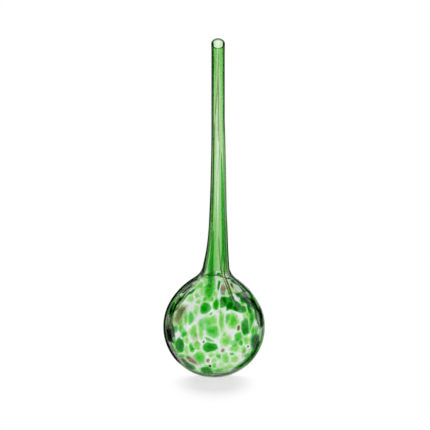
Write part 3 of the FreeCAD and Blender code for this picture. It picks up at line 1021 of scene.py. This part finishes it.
# Brown ones, given in the same way. The first is the thin orange line of that painted reflection.
BROWN_AND_REFLECTION_OVALS = (
    (-64, 26, 22, 3.5, 68, 0.2),
    (47, 70, 10, 4.5, 125, 0.8),
)
PATCH_TOP_DEPTH = 1.8 * MM
DEEP_PATCH_THICKNESS = 0.55 * MM
FUSED_PATCH_THICKNESS = 0.85 * MM
MAUVE_PATCH_THICKNESS = 0.55 * MM
BROWN_PATCH_THICKNESS = 0.22 * MM
PATCH_SHARPNESS = 6.0
BROWN_PATCH_SHARPNESS = 2.0
FUSED_PATCH_SIZE = 10
LEAST_DEPTH_SHARE = 0.1
SEARCH_ROUNDS = 3
HUNDREDTH = GLOBE_RADIUS / 100


def seen_at(across, up, behind=False):
    """Direction from the ball's centre to the skin's point that the photograph's view shows there."""
    flat = (Vector((1, 0, 0)) * across + VIEW_UP * up) * HUNDREDTH
    distance = GLOBE_RADIUS
    for _ in range(SEARCH_ROUNDS):
        depth = math.sqrt(max(distance ** 2 - flat.length_squared, (LEAST_DEPTH_SHARE * GLOBE_RADIUS) ** 2))
        toward = (flat + TO_VIEWER * (-depth if behind else depth)).normalized()
        distance = skin_distance(toward)
    return toward


def patch_chip(across, up, length, width, tilt, behind=False):
    """A patch's place and ways on the skin from its oval in the photograph's view."""
    toward = seen_at(across, up, behind)
    angle = math.radians(tilt)
    ways = []
    for size, turn in ((length, angle), (width, angle + math.pi / 2)):
        seen = (Vector((1, 0, 0)) * math.cos(turn) + VIEW_UP * math.sin(turn)) * size * HUNDREDTH
        ways.append(seen - TO_VIEWER * (seen.dot(toward) / TO_VIEWER.dot(toward)))
    return Chip(toward, ways[0], ways[0].length, ways[1].length)


def swing(index, size, turn):
    return size * math.sin(index * turn)


def side_patches(taken):
    golden_turn = math.pi * (3 - math.sqrt(5))
    patches = []
    for index in range(SIDE_PEBBLE_COUNT):
        height = (2 * index + 1) / SIDE_PEBBLE_COUNT - 1
        ring = math.sqrt(1 - height * height)
        toward = Vector((ring * math.cos(index * golden_turn), ring * math.sin(index * golden_turn), height))
        if abs(toward.y) > SIDE_LIMIT_SHARE or height > TOP_LIMIT_SHARE:
            continue
        if any(chip.distance(toward * GLOBE_RADIUS) < 1 for chip, _ in taken):
            continue
        slant = Vector((toward.y, -toward.x, 0)) * swing(index, SIDE_PEBBLE_SLANT, 1)
        length = SIDE_PEBBLE_SIZE * (1 + swing(index, *SIZE_SWING))
        chip = Chip(toward, Vector((0, 0, 1)) + slant, length, SIDE_PEBBLE_SIZE * SIDE_PEBBLE_WIDTH_SHARE)
        patches.append((chip, SIDE_PEBBLE_AMOUNT + swing(index, *AMOUNT_SWING)))
    return patches


def pale_patches():
    patches = []
    for *oval, amount in PEBBLE_AND_REFLECTION_OVALS:
        for behind in (False, True):
            patches.append((patch_chip(*oval, behind), amount))
    return patches + side_patches(patches)


def front_patches(ovals):
    return [(patch_chip(*oval), amount) for *oval, amount in ovals]


def build_patches(name, material, slot, patches, top_depth, thickness, sharpness, vein=0.0):
    chips = [chip for chip, _ in patches]
    mesh = ([], [])
    for chip, amount in patches:
        ways = grown_ways(chip, chips, lambda one, other: vein)
        add_lens(mesh, chip, ways, top_depth, thickness * amount, sharpness)
    new_piece(name, *mesh, material, slot)


def build_fused_patch():
    """A lens whose rim is a smooth curve through the patch's outline points."""
    count = len(FUSED_OUTLINE)
    middle = [sum(point[axis] for point in FUSED_OUTLINE) / count for axis in (0, 1)]
    chip = patch_chip(*middle, FUSED_PATCH_SIZE, FUSED_PATCH_SIZE, 0)
    ways = []
    for spoke in range(SPOKES):
        place = spoke / SPOKES * count
        index = int(place)
        share = place - index
        corners = [Vector(FUSED_OUTLINE[(index + step) % count]) for step in (-1, 0, 1, 2)]
        bend = [-share + 2 * share ** 2 - share ** 3, 2 - 5 * share ** 2 + 3 * share ** 3,
                share + 4 * share ** 2 - 3 * share ** 3, -share ** 2 + share ** 3]
        seen = sum((corner * weight for corner, weight in zip(corners, bend)), Vector((0, 0))) / 2
        ways.append((seen_at(*seen) - chip.toward) * GLOBE_RADIUS)
    mesh = ([], [])
    add_lens(mesh, chip, ways, PATCH_TOP_DEPTH, FUSED_PATCH_THICKNESS, PATCH_SHARPNESS)
    new_piece("fused_patch", *mesh, DEEP_GREEN, "deep_green_glass")


build_patches("pale_pebbles_and_reflection", PALE_GREEN, "pale_green_glass", pale_patches(), PEBBLE_TOP_DEPTH,
              PEBBLE_THICKNESS, PEBBLE_SHARPNESS, PEBBLE_VEIN_SHARE)
build_patches("deep_patches", DEEP_GREEN, "deep_green_glass", front_patches(DEEP_OVALS),
              PATCH_TOP_DEPTH, DEEP_PATCH_THICKNESS, PATCH_SHARPNESS)
build_fused_patch()
build_patches("mauve_patches_and_reflection", MAUVE, "mauve_glass", front_patches(MAUVE_AND_REFLECTION_OVALS),
              PATCH_TOP_DEPTH, MAUVE_PATCH_THICKNESS, PATCH_SHARPNESS)
build_patches("brown_patches_and_reflection", BROWN, "brown_glass", front_patches(BROWN_AND_REFLECTION_OVALS),
              PATCH_TOP_DEPTH, BROWN_PATCH_THICKNESS, BROWN_PATCH_SHARPNESS)


# Camera, in the photograph's place

LENS = 300.0
SENSOR_WIDTH = 36.0
VIEW_END = 50.0


def add_camera():
    centre_up = (BALL_PIXEL[1] - IMAGE_SIDE / 2) / PIXELS_PER_METRE / math.cos(VIEW_TILT)
    centre_right = (IMAGE_SIDE / 2 - BALL_PIXEL[0]) / PIXELS_PER_METRE
    target = BALL_CENTRE + Vector((centre_right, 0, centre_up))
    distance = IMAGE_SIDE / PIXELS_PER_METRE * LENS / SENSOR_WIDTH
    camera_data = bpy.data.cameras.new("camera")
    camera_data.lens = LENS
    camera_data.sensor_width = SENSOR_WIDTH
    camera_data.clip_end = VIEW_END
    camera = new_object("camera", camera_data)
    camera.location = target + TO_VIEWER * distance
    camera.rotation_euler = (math.pi / 2 - VIEW_TILT, 0, 0)
    bpy.context.scene.camera = camera


add_camera()


# Floor and light

FLOOR_HALF_SIDE = 3.0
# The floor's strength in reflections, behind the object and in front of it, and where the one fades into
# the other
REFLECTED_FLOOR = 0.52
FRONT_FLOOR = 0.15
DIM_FLOOR_FADE = (-55.0 * MM, -15.0 * MM)
# The matt oval that takes the shadow: how matt it is, where it lies, and how far out it starts to fade
FLOOR_DIFFUSE = 0.32
SHADOW_MIDDLE = -40.0 * MM
SHADOW_HALF_WIDTH = 41.0 * MM
SHADOW_HALF_LENGTH = 150.0 * MM
SHADOW_CORE_SHARE = 0.33
SUN_SHARE = 0.70
SUN_ELEVATION = math.radians(40.0)
SUN_SPREAD = math.radians(34.0)

# What reflections see round the horizon, repeated every quarter turn so that each side looks alike: bright
# panels in a dark room, as degrees from straight behind the object, clockwise seen from above
STUDIO_PANELS = ((2, 22), (50, 64))
PANEL_SOFTNESS = 4.0
PANEL_REPEAT = 90.0
DARK_ROOM = 0.02


def floor_material():
    """White of its own light, turning partly matt near the object, where its soft faint shadow falls."""
    material, tree = empty_material("floor")
    x, y, _ = new_node(tree, "SeparateXYZ", {0: coordinates(tree, "Object")})
    across = math_node(tree, "DIVIDE", x, SHADOW_HALF_WIDTH)
    along = math_node(tree, "DIVIDE", math_node(tree, "SUBTRACT", y, SHADOW_MIDDLE), SHADOW_HALF_LENGTH)
    squares = [math_node(tree, "MULTIPLY", value, value) for value in (across, along)]
    distance = math_node(tree, "SQRT", math_node(tree, "ADD", *squares))
    near = soft_step(tree, distance, 1.0, SHADOW_CORE_SHARE)
    behind = soft_step(tree, y, *DIM_FLOOR_FADE)
    missing = math_node(tree, "MULTIPLY_ADD", behind, REFLECTED_FLOOR - FRONT_FLOOR, FRONT_FLOOR - 1)
    strength = math_node(tree, "MULTIPLY_ADD", after_reflection(tree), missing, 1.0)
    emission = new_node(tree, "Emission", {"Strength": strength})["Emission"]
    diffuse = new_node(tree, "BsdfDiffuse", {"Color": WHITE})["BSDF"]
    share = math_node(tree, "MULTIPLY", near, FLOOR_DIFFUSE)
    surface = new_node(tree, "MixShader", {"Fac": share, 1: emission, 2: diffuse})["Shader"]
    new_node(tree, "OutputMaterial", {"Surface": surface})
    return material


def add_floor():
    side = FLOOR_HALF_SIDE
    corners = [(-side, -side, 0), (side, -side, 0), (side, side, 0), (-side, side, 0)]
    floor_mesh = bpy.data.meshes.new("floor")
    floor_mesh.from_pydata(corners, [], [(0, 1, 2, 3)])
    floor_mesh.materials.append(floor_material())
    floor = new_object("floor", floor_mesh)


def add_sun():
    """A wide soft light from behind and above, for the floor's share of light and the forward shadow."""
    sun_data = bpy.data.lights.new("sun", "SUN")
    sun_data.energy = SUN_SHARE * math.pi / math.sin(SUN_ELEVATION)
    sun_data.angle = SUN_SPREAD
    sun = new_object("sun", sun_data)
    sun.rotation_euler = (SUN_ELEVATION - math.pi / 2, 0, 0)
    sun.visible_glossy = False
    sun.visible_transmission = False


def studio_light(tree):
    """The dark room and its panels, for a direction round the horizon."""
    x, y, _ = new_node(tree, "SeparateXYZ", {0: coordinates(tree, "Generated")})
    turn = math_node(tree, "MULTIPLY", math_node(tree, "ARCTAN2", x, y), math.degrees(1))
    turn = math_node(tree, "WRAP", turn, PANEL_REPEAT, 0.0)
    light = DARK_ROOM
    for start, end in STUDIO_PANELS:
        opens = soft_step(tree, turn, start - PANEL_SOFTNESS / 2, start + PANEL_SOFTNESS / 2)
        shuts = soft_step(tree, turn, end + PANEL_SOFTNESS / 2, end - PANEL_SOFTNESS / 2)
        light = math_node(tree, "ADD", light, math_node(tree, "MULTIPLY", opens, shuts))
    return light


def build_world():
    """White behind everything. Reflections see the dark studio, and the matt floor what the sun leaves it."""
    world = bpy.data.worlds.new("studio")
    bpy.context.scene.world = world
    world.use_nodes = True
    tree = world.node_tree
    tree.nodes.clear()
    shiny = mixed(tree, after_reflection(tree), 1.0, studio_light(tree), "FLOAT")
    light = mixed(tree, light_path(tree, "Is Diffuse Ray"), shiny, 1 - SUN_SHARE, "FLOAT")
    background = new_node(tree, "Background", {"Color": light})["Background"]
    new_node(tree, "OutputWorld", {"Surface": background})


add_floor()
add_sun()
build_world()

# Enough bounces for light to cross the glass and all the chips in it
scene = bpy.context.scene
scene.view_settings.view_transform = "Standard"
scene.cycles.transparent_max_bounces = 64
scene.cycles.transmission_bounces = 24
scene.cycles.glossy_bounces = 8
scene.cycles.max_bounces = 32
